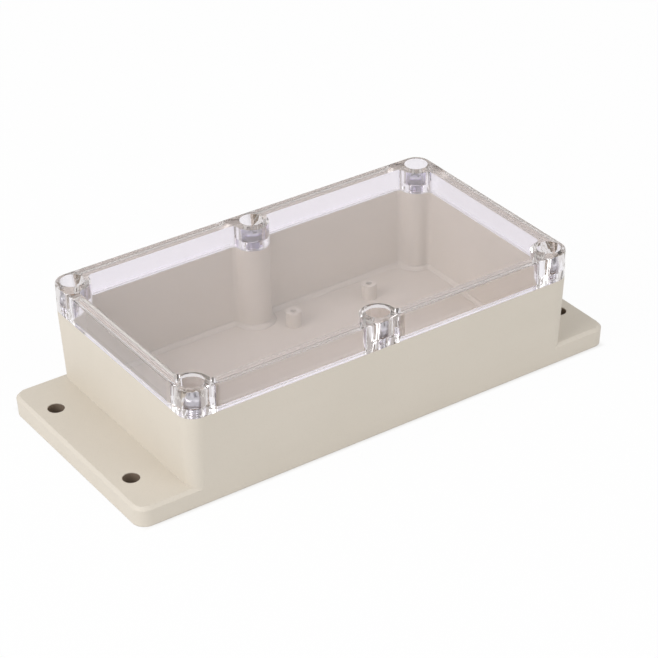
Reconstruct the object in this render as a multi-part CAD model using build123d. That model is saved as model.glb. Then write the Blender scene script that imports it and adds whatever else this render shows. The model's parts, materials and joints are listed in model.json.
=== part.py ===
from build123d import *
import os
from math import radians, tan

# Wall-mounting junction box with a clear cover held by six screws, in millimetres
# X runs along the long side, Y along the short side, Z up from the wall face
# The origin is the middle of the underside, between the two ears

# Box without its ears
box_length = 158.0
box_width = 90.0
box_height = 46.0
corner_radius = 6.0
cover_height = 10.8
outer_draft = 2.9

# Base moulding
rim_width = 4.6
floor_thickness = 3.0
post_radius = 6.4
post_blend = 2.0

# Ears of the base
ear_reach = 19.0
ear_thickness = 7.5
ear_skin = 2.6
ear_wall = 2.4
ear_corner_radius = 5.0
ear_edge_bevel = 1.2
ear_hole_end_distance = 8.0
ear_hole_spacing = 51.0
ear_hole_radius = 3.0
ear_boss_radius = 5.6
ear_rib_width = 1.8
ear_rib_count = 5

# Board standoffs on the floor of the base
board_centre_x = 26.2
board_spacing_x = 33.8
board_spacing_y = 54.8
standoff_height = 6.0
standoff_radius = 2.8
pilot_radius = 1.15
pilot_depth = 5.5

# Screw axes, measured in from the outline
screw_inset = 6.0

# Seal groove along the rim, between the hollow and the screws
groove_lip = 0.9
groove_width = 1.5
groove_depth = 2.0
seal_side_gap = 0.1

# Clear cover
top_thickness = 2.2
cover_edge_radius = 0.8
well_radius = 4.3
well_floor_thickness = 3.0

# Hexagonal brass inserts in the posts of the base
insert_half_width = 2.75
insert_length = 8.5
insert_sink = 0.2
insert_press = 0.04
insert_bore_depth = 15.0

# Cover screws, M4 cheese head with a cross recess
screw_radius = 1.95
screw_length = 12.0
head_radius = 3.6
head_height = 2.6
cross_length = 4.4
cross_width = 0.9
cross_depth = 1.6
cross_draft = 8.0
bore_running_gap = 0.05
screw_hole_gap = 0.3

# Heights and places that follow from the sizes above
seam_z = box_height - cover_height
well_floor_z = seam_z + well_floor_thickness
standoff_top = floor_thickness + standoff_height
screw_x = box_length / 2 - screw_inset
screw_y = box_width / 2 - screw_inset
wall_lean = (seam_z - ear_thickness) * tan(radians(outer_draft))
ear_root = box_length / 2 - wall_lean
ear_end = box_length / 2 + ear_reach
ear_half_width = box_width / 2 - wall_lean
screw_places = {
    "front_left": (-screw_x, -screw_y),
    "front_middle": (0.0, -screw_y),
    "front_right": (screw_x, -screw_y),
    "rear_left": (-screw_x, screw_y),
    "rear_middle": (0.0, screw_y),
    "rear_right": (screw_x, screw_y),
}


def at_screws(shape):
    """One copy of a shape on every screw axis."""
    return [Pos(x, y) * shape for x, y in screw_places.values()]


def cylinder(radius, low, high):
    """An upright cylinder on the Z axis, from one height to another."""
    return Pos(0, 0, low) * extrude(Circle(radius), high - low)


def hexagon(half_width, low, high):
    """An upright hexagonal bar on the Z axis, with its width given across the flats."""
    return Pos(0, 0, low) * extrude(RegularPolygon(half_width, 6, major_radius=False), high - low)


def box_outline():
    """Outline of the box at the seam, which the cover shares."""
    return RectangleRounded(box_length, box_width, corner_radius)


def cavity_outline():
    """Outline of the hollow, which bends in round the six screw posts with blended corners."""
    hollow = Rectangle(box_length - 2 * rim_width, box_width - 2 * rim_width)
    hollow -= at_screws(Circle(post_radius))
    return fillet(hollow.vertices(), post_blend)


def seal_band(side_gap):
    """Band along the rim, round the whole hollow: the seal groove less a gap at each side."""
    outer = offset(cavity_outline(), groove_lip + groove_width - side_gap)
    return outer - offset(cavity_outline(), groove_lip + side_gap)


def ear():
    """Mounting ear at the +X end: a drafted plate with a bevelled edge, ribbed and hollow underneath."""
    # The plate starts inside the box, where its sides lie in the flat walls and not in the rounded corners
    inner_end = ear_root - 2 * corner_radius
    outline = Pos((inner_end + ear_end) / 2, 0) * Rectangle(ear_end - inner_end, 2 * ear_half_width)
    outline = fillet(outline.vertices().group_by(Axis.X)[-1], ear_corner_radius)
    plate = extrude(Pos(0, 0, ear_thickness) * outline, ear_thickness, dir=(0, 0, -1), taper=outer_draft)
    top_edges = plate.edges().group_by(Axis.Z)[-1]
    plate = chamfer(top_edges.filter_by(lambda e: e.center().X > inner_end), ear_edge_bevel)

    hole_places = Pos(ear_end - ear_hole_end_distance, 0) * GridLocations(0, ear_hole_spacing, 1, 2)
    rib_pitch = ear_hole_spacing / (ear_rib_count - 1)
    inside = Rectangle(ear_end - ear_root - 2 * ear_wall, 2 * (ear_half_width - ear_wall))
    inside = Pos((ear_end + ear_root) / 2, 0) * inside
    ribs = GridLocations(0, rib_pitch, 1, ear_rib_count) * Rectangle(2 * ear_end, ear_rib_width)
    plate -= extrude(inside - ribs - hole_places * Circle(ear_boss_radius), ear_thickness - ear_skin)
    return plate - hole_places * cylinder(ear_hole_radius, 0, ear_thickness)


def make_base():
    """Opaque base: drafted box with ears, screw posts, seal groove and board standoffs."""
    seam = Pos(0, 0, seam_z)
    base = extrude(seam * box_outline(), seam_z, dir=(0, 0, -1), taper=outer_draft)
    base += ear() + Rot(0, 0, 180) * ear()

    board = Pos(board_centre_x, 0) * GridLocations(board_spacing_x, board_spacing_y, 2, 2)
    hollow = Pos(0, 0, floor_thickness) * extrude(cavity_outline(), seam_z - floor_thickness)
    base -= hollow - board * cylinder(standoff_radius, floor_thickness, standoff_top)
    base -= board * cylinder(pilot_radius, standoff_top - pilot_depth, standoff_top)

    base -= extrude(seam * seal_band(0), groove_depth, dir=(0, 0, -1))
    return base - at_screws(hexagon(insert_half_width - insert_press, seam_z - insert_bore_depth, seam_z))


def make_gasket():
    """Moulded seal in the groove, pressed level with the rim by the cover."""
    return Pos(0, 0, seam_z - groove_depth) * extrude(seal_band(seal_side_gap), groove_depth)


def make_cover():
    """Clear cover: a thin-walled tray upside down, with a deep well for each screw in its six posts."""
    seam = Pos(0, 0, seam_z)
    cover = extrude(seam * box_outline(), cover_height)
    cover = fillet(cover.edges().group_by(Axis.Z)[-1], cover_edge_radius)
    cover -= extrude(seam * cavity_outline(), cover_height - top_thickness)

    well = cylinder(well_radius, well_floor_z, box_height)
    hole = cylinder(screw_radius + screw_hole_gap, seam_z, well_floor_z)
    return cover - at_screws(well + hole)


def make_insert():
    """Hexagonal brass insert on the Z axis, with its top just under the rim of the base."""
    top = seam_z - insert_sink
    low = top - insert_length
    return hexagon(insert_half_width, low, top) - cylinder(screw_radius + bore_running_gap, low, top)


def make_screw():
    """Cheese head screw on the Z axis, with its head on the floor of the well."""
    head_top = well_floor_z + head_height
    screw = cylinder(screw_radius, well_floor_z - screw_length, well_floor_z)
    screw += cylinder(head_radius, well_floor_z, head_top)
    cross = Rectangle(cross_length, cross_width) + Rectangle(cross_width, cross_length)
    return screw - extrude(Pos(0, 0, head_top) * cross, cross_depth, dir=(0, 0, -1), taper=cross_draft)


def save(name, shape):
    """Writes one piece, whose file is named after it."""
    export_step(shape, "parts/" + name + ".step")


os.makedirs("parts", exist_ok=True)
save("base", make_base())
save("gasket", make_gasket())
save("cover", make_cover())
insert = make_insert()
screw = make_screw()
for place, (x, y) in screw_places.items():
    save("insert_" + place, Pos(x, y) * insert)
    save("screw_" + place, Pos(x, y) * screw)
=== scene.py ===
"""Looks for the wall-mounting junction box with a clear cover.

Sizes are in millimetres and angles in degrees unless a comment says otherwise.
"""

import json
from functools import cached_property
from math import asin, degrees, radians

import bmesh
import bpy
import numpy as np
from mathutils import Euler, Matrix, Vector


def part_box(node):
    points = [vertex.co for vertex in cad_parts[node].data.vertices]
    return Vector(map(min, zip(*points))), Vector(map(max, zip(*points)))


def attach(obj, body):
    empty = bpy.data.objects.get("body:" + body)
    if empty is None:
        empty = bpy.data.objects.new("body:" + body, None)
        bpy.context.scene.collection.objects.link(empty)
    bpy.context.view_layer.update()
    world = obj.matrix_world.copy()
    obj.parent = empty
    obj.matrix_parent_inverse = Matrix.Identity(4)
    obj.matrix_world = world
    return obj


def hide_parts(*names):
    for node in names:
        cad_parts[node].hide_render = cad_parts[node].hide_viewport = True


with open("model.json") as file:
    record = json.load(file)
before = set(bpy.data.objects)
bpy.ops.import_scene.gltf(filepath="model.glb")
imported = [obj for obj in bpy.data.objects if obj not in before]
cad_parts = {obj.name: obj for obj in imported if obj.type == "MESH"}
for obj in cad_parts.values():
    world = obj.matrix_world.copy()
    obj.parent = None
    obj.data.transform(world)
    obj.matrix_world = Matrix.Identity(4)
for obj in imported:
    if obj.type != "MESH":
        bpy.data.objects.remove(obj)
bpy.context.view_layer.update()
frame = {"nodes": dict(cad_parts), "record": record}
MM = 0.001

# Hollow of the base, as in the solids
rim_width = 4.6
floor_z = 3.0
screw_inset = 6.0
post_radius = 6.4
post_blend = 2.0
floor_round = 1.5
fillet_sink = 0.2
groove_middle = 1.65
groove_depth = 2.0

# Sizes that the frame gives
base_end, base_side, seam_z = np.array(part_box("base")[1]) / MM
half_length, half_width, _ = np.array(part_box("cover")[1]) / MM
screw_x = half_length - screw_inset
screw_y = half_width - screw_inset
screw_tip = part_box("screw_front_left")[0][2] / MM

# Finish of edges and faces that touch
seal_half_width = 0.68
seal_round = 0.35
seal_contact = 0.02
cover_edge_round = 0.22
housing_edge_round = 0.4
face_clearance = 0.03
merge_distance = 0.001
flat_angle = 0.5
sharp_angle = 40.0

# Bounces after which light goes straight through the clear plastic, well under the renderer's own limits
most_mirrors = 2
most_bounces = 8

# Faces of clear plastic after which light has gone a long way through it and takes its violet tint
most_plain_faces = 3

# Ear holes, from the record, and the painted shade that darkens their sides
ear_holes = next(mount["dims"] for mount in frame["record"]["mounts"] if mount["name"] == "ear_holes")
ear_hole_x = ear_holes["spacing_x_mm"] / 2
ear_hole_y = ear_holes["spacing_y_mm"] / 2
ear_hole_radius = ear_holes["hole_r_mm"]
ear_top = 7.5
painted_hole_shade = 0.9
hole_shade_depth = 0.25
hole_shade_margin = 0.2
hole_side_softness = 0.1
hole_depth_softness = 0.4

# Cover screws, M4 cheese head
head_radius = 3.6
head_height = 2.6
head_round = 0.7
shank_radius = 1.95
thread_depth = 0.3
thread_pitch = 0.7
tip_taper = 0.8
cross_half_length = 2.2
cross_half_width = 0.45
cross_depth = 1.6
cross_edge = 0.12

# Heights below the head's shoulder and its seat at which a screw's side, its shank and its thread start
head_step = 0.1
shank_step = 0.05
plain_neck = 0.4

# Points along each curve
blend_points = 9
post_points = 21
fillet_points = 9
seal_corner_points = 5
head_round_points = 7
screw_sides = 72
screw_rings = {"head_top": 34, "head_side": 3, "seat": 4, "thread": 100, "tip": 6}

# Stage, with the lamps' places and sizes in metres and their power in watts
floor_half = 3000.0
floor_gap = 0.05
floor_glow = 0.96
floor_shade_reach = 0.97
floor_shade_softness = 0.06
ambient_light = 0.64
lamps = {
    "key_lamp": {"place": (-1.2, -0.1, 0.8), "size": 0.9, "power": 11.0},
    "fill_lamp": {"place": (0.3, -1.1, 0.8), "size": 1.0, "power": 4.2},
}

# Camera as fitted to the photograph: place in metres, angles in degrees, lens and sensor in millimetres
camera_place = (-0.3835, -0.5804, 0.4469)
camera_turn = 56.11
camera_drop = 31.57
camera_roll = -1.083
camera_lens = 127.1
camera_sensor = 36.0

# Side of the box along X and along Y for each cover screw
places = {
    "front_left": (-1, -1),
    "front_middle": (0, -1),
    "front_right": (1, -1),
    "rear_left": (-1, 1),
    "rear_middle": (0, 1),
    "rear_right": (1, 1),
}


# Node maths
class Value:
    """A number from a node. Arithmetic on it adds Math nodes."""

    def __init__(self, recipe, socket):
        self.recipe = recipe
        self.socket = socket

    def __add__(self, other):
        return self.recipe.maths("ADD", self, other)

    __radd__ = __add__

    def __sub__(self, other):
        return self.recipe.maths("SUBTRACT", self, other)

    def __rsub__(self, other):
        return self.recipe.maths("SUBTRACT", other, self)

    def __mul__(self, other):
        return self.recipe.maths("MULTIPLY", self, other)

    __rmul__ = __mul__

    def size(self):
        """The number without its sign."""
        return self.recipe.maths("ABSOLUTE", self, 0.0)

    def largest(self, other):
        """The larger of two numbers."""
        return self.recipe.maths("MAXIMUM", self, other)

    def more_than(self, other):
        """1 where the number is more than another, and 0 elsewhere."""
        return self.recipe.maths("GREATER_THAN", self, other)

    def distance(self, other):
        """Length of the hypotenuse over two legs."""
        return self.recipe.maths("POWER", self * self + other * other, 0.5)

    def above(self, edge, width):
        """0 below an edge and 1 above it, with a soft step between."""
        step = self.recipe.node(
            "ShaderNodeMapRange",
            {"interpolation_type": "SMOOTHSTEP"},
            {"Value": self, "From Min": edge - width / 2, "From Max": edge + width / 2},
        )
        return Value(self.recipe, step.outputs["Result"])


class Recipe:
    """A material, or the world, and the nodes that make it."""

    def __init__(self, owner):
        self.owner = owner
        owner.use_nodes = True
        self.tree = owner.node_tree
        self.tree.nodes.clear()

    def node(self, kind, settings=None, values=None):
        """Adds a node: its settings first, then the values or links of its sockets."""
        made = self.tree.nodes.new(kind)
        for key, setting in (settings or {}).items():
            setattr(made, key, setting)
        for key, value in (values or {}).items():
            source = value.socket if isinstance(value, Value) else value
            if isinstance(source, bpy.types.NodeSocket):
                self.tree.links.new(source, made.inputs[key])
            else:
                made.inputs[key].default_value = source
        return made

    def maths(self, operation, first, second):
        """The number that a Math node makes of two numbers."""
        made = self.node("ShaderNodeMath", {"operation": operation}, {0: first, 1: second})
        return Value(self, made.outputs[0])

    @cached_property
    def coordinates(self):
        """The object's own coordinates at the point that is shaded, in metres."""
        return self.node("ShaderNodeTexCoord").outputs["Object"]

    @cached_property
    def path(self):
        """What is known of the ray that reaches the point."""
        return self.node("ShaderNodeLightPath").outputs

    def place(self):
        """The object's X, Y and Z as numbers."""
        split = self.node("ShaderNodeSeparateXYZ", None, {"Vector": self.coordinates})
        return [Value(self, split.outputs[axis]) for axis in "XYZ"]

    def ray(self, fact):
        """A fact of the ray: 1 or 0 for its kind, or a count of its bounces."""
        return Value(self, self.path[fact])

    def seen(self):
        """1 for rays that see a thing directly, in a mirror or through clear plastic, and 0 for others."""
        camera, mirror, clear = (self.ray(f"Is {kind} Ray") for kind in ("Camera", "Glossy", "Transmission"))
        return camera.largest(mirror).largest(clear)

    def noise(self, size, detail=2.0, stretch=(1.0, 1.0, 1.0)):
        """Noise from 0 to 1 whose grain is about a size in millimetres, times a stretch along each axis."""
        scale = tuple(1 / (size * MM * s) for s in stretch)
        placed = self.node("ShaderNodeMapping", None, {"Vector": self.coordinates, "Scale": scale})
        values = {"Vector": placed.outputs[0], "Scale": 1.0, "Detail": detail}
        made = self.node("ShaderNodeTexNoise", None, values)
        return Value(self, made.outputs["Fac"])

    def mix(self, factor, first, second):
        """A colour between two colours. The node's colour sockets are inputs 6 and 7 and output 2."""
        made = self.node("ShaderNodeMix", {"data_type": "RGBA"}, {"Factor": factor, 6: first, 7: second})
        return made.outputs[2]

    def rounded(self, radius):
        """A normal that turns softly over an edge, as if it had a radius in millimetres."""
        return self.node("ShaderNodeBevel", {"samples": 6}, {"Radius": radius * MM}).outputs[0]

    def bump(self, height, depth, under=None):
        """A normal for a height from 0 to 1 that stands for a depth in millimetres, over another normal."""
        values = {"Height": height, "Strength": 1.0, "Distance": depth * MM}
        if under is not None:
            values["Normal"] = under
        return self.node("ShaderNodeBump", None, values).outputs[0]

    def shader(self, values):
        """The Principled shader with the given sockets."""
        return self.node("ShaderNodeBsdfPrincipled", None, values).outputs[0]

    def blend(self, factor, first, second):
        """The first shader where the factor is 0, the second where it is 1."""
        return self.node("ShaderNodeMixShader", None, {0: factor, 1: first, 2: second}).outputs[0]

    def output(self, shader, kind="ShaderNodeOutputMaterial"):
        """Ends the recipe with a shader and returns its material or world."""
        self.node(kind, None, {"Surface": shader})
        return self.owner


def new_material(name):
    """The recipe of a new material."""
    return Recipe(bpy.data.materials.new(name))


def tone(red, green, blue):
    """A colour from 0 to 255 as seen on a screen, turned to the light that makes it."""
    seen = np.array([red, green, blue]) / 255
    light = np.where(seen <= 0.04045, seen / 12.92, ((seen + 0.055) / 1.055) ** 2.4)
    return (*light.tolist(), 1.0)


# Materials
def moulded_beige():
    """Warm beige housing plastic with a fine spark-eroded grain and slow changes of shade, and painted shade
    that darkens the sides of the ear holes.
    """
    recipe = new_material("base_plastic")
    grain = recipe.noise(0.35, detail=3.0)
    patches = recipe.noise(28.0, detail=2.0)
    flow = recipe.noise(9.0, detail=3.0, stretch=(4.0, 1.0, 1.0))
    shade = recipe.mix(patches * 0.6 + flow * 0.4, tone(205, 197, 184), tone(213, 205, 193))
    speckled = recipe.mix(grain.above(0.62, 0.1) * 0.25, shade, tone(196, 187, 174))
    x, y, z = recipe.place()
    from_axis = (x.size() - ear_hole_x * MM).distance(y.size() - ear_hole_y * MM)
    within = 1 - from_axis.above((ear_hole_radius + hole_shade_margin) * MM, hole_side_softness * MM)
    below = 1 - z.above((ear_top - hole_shade_depth) * MM, hole_depth_softness * MM)
    # Below the ear tops and inside the ear holes the colour turns dark brown: painted shade
    values = {
        "Base Color": recipe.mix(within * below * painted_hole_shade, speckled, tone(112, 94, 78)),
        "Roughness": 0.42 + 0.2 * grain + 0.06 * patches,
        "Specular IOR Level": 0.42,
        "Normal": recipe.bump(grain + 0.3 * flow, 0.035, recipe.rounded(housing_edge_round)),
    }
    return recipe.output(recipe.shader(values))


def clear_plastic():
    """Polished clear polycarbonate with faint smears, violet where light goes a long way through its edges.

    Light from the lamps passes straight through to what it covers, and so does light that has bounced often.
    """
    recipe = new_material("cover_clear")
    smears = recipe.noise(7.0, detail=4.0, stretch=(3.0, 1.0, 1.0))
    dust = recipe.noise(0.5, detail=1.0)
    plain = recipe.mix(smears, tone(247, 244, 248), tone(244, 241, 246))
    deep = recipe.ray("Transmission Depth").more_than(most_plain_faces)
    values = {
        "Base Color": recipe.mix(deep, plain, tone(212, 206, 231)),
        "Roughness": 0.012 + 0.03 * smears.above(0.55, 0.2) + 0.03 * dust.above(0.78, 0.05),
        "IOR": 1.585,
        "Transmission Weight": 1.0,
    }
    glass = recipe.shader(values)
    through = recipe.node("ShaderNodeBsdfTransparent", None, {"Color": tone(229, 226, 224)}).outputs[0]
    mirrored = recipe.ray("Glossy Depth").more_than(most_mirrors)
    spent = recipe.ray("Ray Depth").more_than(most_bounces)
    straight = recipe.ray("Is Shadow Ray").largest(mirrored).largest(spent)
    return recipe.output(recipe.blend(straight, glass, through))


def pale_silicone():
    """Soft off-white seal with a satin skin."""
    recipe = new_material("gasket_silicone")
    skin = recipe.noise(0.6, detail=3.0)
    waves = recipe.noise(12.0)
    values = {
        "Base Color": recipe.mix(waves, tone(214, 211, 204), tone(224, 222, 216)),
        "Roughness": 0.5 + 0.15 * skin,
        "Normal": recipe.bump(skin, 0.02),
    }
    return recipe.output(recipe.shader(values))


def turned_brass():
    """Brass bar with turning lines and a faint tarnish."""
    recipe = new_material("insert_brass")
    lines = recipe.noise(0.12, detail=2.0, stretch=(12.0, 12.0, 1.0))
    tarnish = recipe.noise(1.6, detail=3.0)
    values = {
        "Base Color": recipe.mix(tarnish.above(0.5, 0.5), tone(196, 152, 92), tone(158, 108, 66)),
        "Metallic": 1.0,
        "Roughness": 0.24 + 0.12 * lines + 0.1 * tarnish,
        "Normal": recipe.bump(lines, 0.008),
    }
    return recipe.output(recipe.shader(values))


def plain_steel():
    """Stainless steel with fine drawing marks and slightly duller patches."""
    recipe = new_material("screw_steel")
    marks = recipe.noise(0.1, detail=2.0, stretch=(10.0, 10.0, 1.0))
    dull = recipe.noise(1.2, detail=3.0)
    values = {
        "Base Color": recipe.mix(dull, tone(196, 196, 199), tone(208, 208, 210)),
        "Metallic": 1.0,
        "Roughness": 0.2 + 0.1 * marks + 0.12 * dull,
        "Normal": recipe.bump(marks, 0.006),
    }
    return recipe.output(recipe.shader(values))


finishes = {
    "base_plastic": moulded_beige(),
    "cover_clear": clear_plastic(),
    "gasket_silicone": pale_silicone(),
    "insert_brass": turned_brass(),
    "screw_steel": plain_steel(),
}


# Pieces
def finish_of(node):
    """The record's material slot of a CAD node."""
    return next(part["material_slot"] for part in frame["record"]["subparts"] if part["node"] == node)


def surface(name, points, closed_u, closed_v=False):
    """A smooth mesh over a grid of points in millimetres, whose first or second direction may close.

    Points that meet, as at a pole or where two arcs join, are merged.
    """
    count_u, count_v = points.shape[:2]
    u = np.arange(count_u if closed_u else count_u - 1)
    v = np.arange(count_v if closed_v else count_v - 1)
    u, v = (a.ravel() for a in np.meshgrid(u, v, indexing="ij"))
    next_u = (u + 1) % count_u
    next_v = (v + 1) % count_v
    row, next_row = u * count_v, next_u * count_v
    quads = np.stack([row + v, next_row + v, next_row + next_v, row + next_v], 1)
    mesh = bpy.data.meshes.new(name)
    mesh.from_pydata((points.reshape(-1, 3) * MM).tolist(), [], quads.tolist())
    work = bmesh.new()
    work.from_mesh(mesh)
    bmesh.ops.remove_doubles(work, verts=work.verts, dist=merge_distance * MM)
    work.to_mesh(mesh)
    work.free()
    mesh.polygons.foreach_set("use_smooth", np.ones(len(mesh.polygons), bool))
    made = bpy.data.objects.new(name, mesh)
    bpy.context.scene.collection.objects.link(made)
    return made


def dress(made, slot, body):
    """Gives a piece its finish and its body."""
    made.data.materials.append(finishes[slot])
    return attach(made, body)


def arc(centre, radius, start, end, steps):
    """Centres, radii and angles of evenly spaced points along an arc, with angles in degrees."""
    angles = np.radians(np.linspace(start, end, steps))
    return np.repeat([centre], steps, 0), np.full(steps, radius), angles


def hollow_path():
    """The wall of the hollow, anticlockwise, as arcs: one round each screw post, with a blend at each side.

    A blend of radius b touches the wall and the post of radius r. Its centre lies r + b from the post's axis,
    turned from the wall's line by the angle whose sine is the blend's depth less the axis's, over r + b.
    A point's side is 1 on a post, which bulges into the hollow, and -1 on a blend, which bulges out of it.
    """
    lean = degrees(asin((rim_width + post_blend - screw_inset) / (post_radius + post_blend)))
    posts = [
        ("front_left", 180, 270),
        ("front_middle", 270, 270),
        ("front_right", 270, 360),
        ("rear_right", 360, 450),
        ("rear_middle", 450, 450),
        ("rear_left", 450, 540),
    ]
    arcs = []
    for place, wall_in, wall_out in posts:
        post = np.array(places[place]) * (screw_x, screw_y)
        first, last = wall_in - 90 - lean, wall_out - 270 + lean
        for angle, start, end in ((first, wall_in, first + 180), (last, last + 180, wall_out)):
            turn = radians(angle)
            centre = post + (post_radius + post_blend) * np.array([np.cos(turn), np.sin(turn)])
            arcs.append((*arc(centre, post_blend, start, end, blend_points), -1))
        arcs.insert(-1, (*arc(post, post_radius, first, last, post_points), 1))
    centres, radii, angles = (np.concatenate([a[k] for a in arcs]) for k in range(3))
    sides = np.concatenate([np.full(len(a[1]), a[3]) for a in arcs])
    return centres, radii, angles, sides


def along_hollow(name, outward, height, closed_v=False):
    """A section carried along the wall of the hollow.

    A point of the section that lies a distance d outward of the wall has the radius r - d round a post
    and r + d round a blend, about the same centre and at the same angle.
    """
    centres, radii, angles, sides = hollow_path()
    reach = radii[:, None] - sides[:, None] * outward
    direction = np.stack([np.cos(angles), np.sin(angles)], 1)
    flat = centres[:, None, :] + reach[:, :, None] * direction[:, None, :]
    rows = np.broadcast_to(height, reach.shape)[:, :, None]
    return surface(name, np.concatenate([flat, rows], 2), closed_u=True, closed_v=closed_v)


def floor_fillet():
    """Round between the walls and the floor: a quarter circle of radius R.

    At the angle t it is R (1 - cos t) in from the wall and R (1 - sin t) up.
    Its section closes round a corner that is sunk a little into the wall and the floor.
    """
    turn = np.radians(np.linspace(0, 90, fillet_points))
    outward = np.append(-floor_round * (1 - np.cos(turn)), fillet_sink)
    height = np.append(floor_z + floor_round * (1 - np.sin(turn)), floor_z - fillet_sink)
    return dress(along_hollow("floor_fillet", outward, height, closed_v=True), "base_plastic", "housing")


def seal_cord():
    """Seal in the groove: a rectangle with round corners, from the groove's floor up to the cover.

    Each corner is a quarter circle of the seal's round about a centre one round in from both sides.
    """
    low, high = seam_z - groove_depth, seam_z + face_clearance + seal_contact
    quarter = np.linspace(0, 90, seal_corner_points)
    turn = np.radians(quarter[None, :] + np.array([0, 90, 180, 270])[:, None]).ravel()
    side = np.repeat([1, -1, -1, 1], seal_corner_points) * (seal_half_width - seal_round)
    upper, lower = high - seal_round, low + seal_round
    level = np.repeat([upper, upper, lower, lower], seal_corner_points)
    outward = groove_middle + side + seal_round * np.cos(turn)
    made = along_hollow("seal_cord", outward, level + seal_round * np.sin(turn), closed_v=True)
    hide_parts("gasket")
    return dress(made, "gasket_silicone", "housing")


def polished_cover():
    """The cover with its edges rounded and its underside just clear of the rim, so that no faces meet."""
    mesh = frame["nodes"]["cover"].data.copy()
    work = bmesh.new()
    work.from_mesh(mesh)
    bmesh.ops.remove_doubles(work, verts=work.verts, dist=merge_distance * MM)
    bmesh.ops.dissolve_limit(work, angle_limit=radians(flat_angle), verts=work.verts, edges=work.edges)
    work.to_mesh(mesh)
    work.free()
    points = np.zeros(len(mesh.vertices) * 3)
    mesh.vertices.foreach_get("co", points)
    height = points[2::3]
    height[:] = np.maximum(height, (seam_z + face_clearance) * MM)
    mesh.vertices.foreach_set("co", points)
    made = bpy.data.objects.new("polished_cover", mesh)
    bpy.context.scene.collection.objects.link(made)
    edge = made.modifiers.new("edge", "BEVEL")
    edge.width = cover_edge_round * MM
    edge.segments = 2
    edge.limit_method = "ANGLE"
    edge.angle_limit = radians(sharp_angle)
    edge.harden_normals = True
    made.data.materials.clear()
    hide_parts("cover")
    return dress(made, "cover_clear", "lid")


def screw_profile(head_top, seat):
    """Radius and height down a screw, from the middle of its head, over the rounded edge, to the tip.

    Each part is a straight line of points from one radius and height to another, but for the rounded edge,
    a quarter circle of the head's round.
    """
    turn = np.radians(np.linspace(90, 0, head_round_points))
    crown, shoulder = head_radius - head_round, head_top - head_round
    taper = screw_tip + tip_taper
    parts = [
        np.linspace((0, head_top), (crown, head_top), screw_rings["head_top"]),
        np.stack([crown + head_round * np.cos(turn), shoulder + head_round * np.sin(turn)], 1),
        np.linspace((head_radius, shoulder - head_step), (head_radius, seat), screw_rings["head_side"]),
        np.linspace((head_radius, seat), (shank_radius, seat), screw_rings["seat"]),
        np.linspace((shank_radius, seat - shank_step), (shank_radius, taper), screw_rings["thread"]),
        np.linspace((shank_radius, taper), (0, screw_tip), screw_rings["tip"]),
    ]
    return np.concatenate(parts).T


def machine_screw(place, axis_x, axis_y):
    """A cheese head screw with a cross recess and a thread, revolved round its axis.

    The thread is a triangle wave in height less a turn's share of the pitch, cut into the shank's radius.
    The recess is a cross of two bars, sunk by a soft step at its edge. The head is just clear of its seat.
    """
    head_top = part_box("screw_" + place)[1][2] / MM
    seat = head_top - head_height + face_clearance
    radius, height = screw_profile(head_top, seat)
    angle = np.linspace(0, 2 * np.pi, screw_sides, endpoint=False)[:, None]
    phase = (height / thread_pitch - angle / (2 * np.pi)) % 1
    threaded = (height < seat - plain_neck) & (radius > shank_radius / 2)
    cut = thread_depth * np.abs(2 * phase - 1) * threaded
    x = (radius - cut) * np.cos(angle)
    y = (radius - cut) * np.sin(angle)
    along_x = np.maximum(np.abs(x) - cross_half_length, np.abs(y) - cross_half_width)
    along_y = np.maximum(np.abs(y) - cross_half_length, np.abs(x) - cross_half_width)
    inside = np.clip(0.5 - np.minimum(along_x, along_y) / cross_edge, 0, 1)
    sunk = cross_depth * inside * (height > head_top - head_round)
    points = np.stack([axis_x + x, axis_y + y, height - sunk], 2)
    made = surface("cover_screw_" + place, points[:, ::-1], closed_u=True)
    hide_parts("screw_" + place)
    return dress(made, "screw_steel", "fastener_" + place)


# Every solid takes its finish, and the seal, the cover and the screws are then replaced by finer pieces
for node, made in frame["nodes"].items():
    made.data.materials.clear()
    made.data.materials.append(finishes[finish_of(node)])

floor_fillet()
seal_cord()
polished_cover()
for place, (side_x, side_y) in places.items():
    machine_screw(place, side_x * screw_x, side_y * screw_y)


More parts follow.
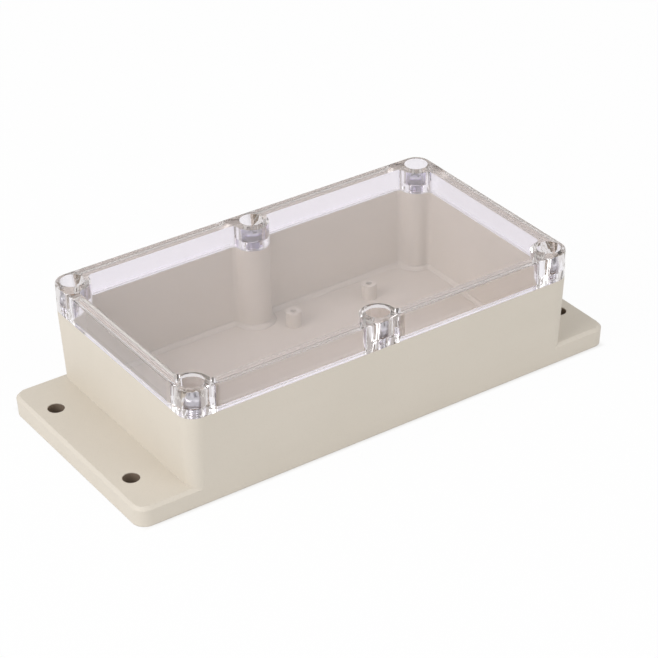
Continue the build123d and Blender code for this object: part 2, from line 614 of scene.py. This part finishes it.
# Stage, light and camera
def studio_white():
    """A white that shows as plain white, except under the object, and still takes the object's shadow."""
    recipe = new_material("studio_white")
    x, y, _ = recipe.place()
    across = (x.size() * (1 / (base_end * MM))).largest(y.size() * (1 / (base_side * MM)))
    uncovered = across.above(floor_shade_reach, floor_shade_softness)
    plain = recipe.node("ShaderNodeBsdfDiffuse", None, {"Color": tone(236, 236, 236)}).outputs[0]
    glow = recipe.node("ShaderNodeEmission", None, {"Color": (1, 1, 1, 1), "Strength": 1.0}).outputs[0]
    return recipe.output(recipe.blend(recipe.seen() * uncovered * floor_glow, plain, glow))


def studio_world():
    """Even light from all sides, which shows as plain white behind the object."""
    recipe = Recipe(bpy.data.worlds.new("studio_world"))
    ambient, backdrop = (
        recipe.node("ShaderNodeBackground", None, {"Color": (1, 1, 1, 1), "Strength": strength}).outputs[0]
        for strength in (ambient_light, 1.0)
    )
    return recipe.output(recipe.blend(recipe.seen(), ambient, backdrop), "ShaderNodeOutputWorld")


def studio_floor():
    """A flat square under the object."""
    corners = np.array([[[-1, -1, 0], [-1, 1, 0]], [[1, -1, 0], [1, 1, 0]]]) * floor_half
    floor = surface("studio_floor", corners - np.array([0, 0, floor_gap]), closed_u=False)
    floor.data.materials.append(studio_white())


def soft_lamp(name, place, size, power):
    """A large square lamp that points at the object."""
    lamp = bpy.data.lights.new(name, "AREA")
    lamp.size = size
    lamp.energy = power
    made = bpy.data.objects.new(name, lamp)
    made.location = place
    made.rotation_euler = (-Vector(place)).to_track_quat("-Z", "Y").to_euler()
    bpy.context.scene.collection.objects.link(made)


def photo_camera():
    """The camera of the photograph: turned, tilted down and rolled a little about its own axis."""
    lens = bpy.data.cameras.new("camera")
    lens.sensor_width = camera_sensor
    lens.lens = camera_lens
    camera = bpy.data.objects.new("camera", lens)
    tilt = Euler((radians(90 - camera_drop), 0, radians(camera_turn - 90))).to_matrix()
    camera.rotation_euler = (tilt @ Euler((0, 0, radians(camera_roll))).to_matrix()).to_euler()
    camera.location = camera_place
    bpy.context.scene.collection.objects.link(camera)
    return camera


studio_floor()
for name, lamp in lamps.items():
    soft_lamp(name, **lamp)
bpy.context.scene.world = studio_world()
bpy.context.scene.camera = photo_camera()
bpy.context.scene.view_settings.view_transform = "Standard"
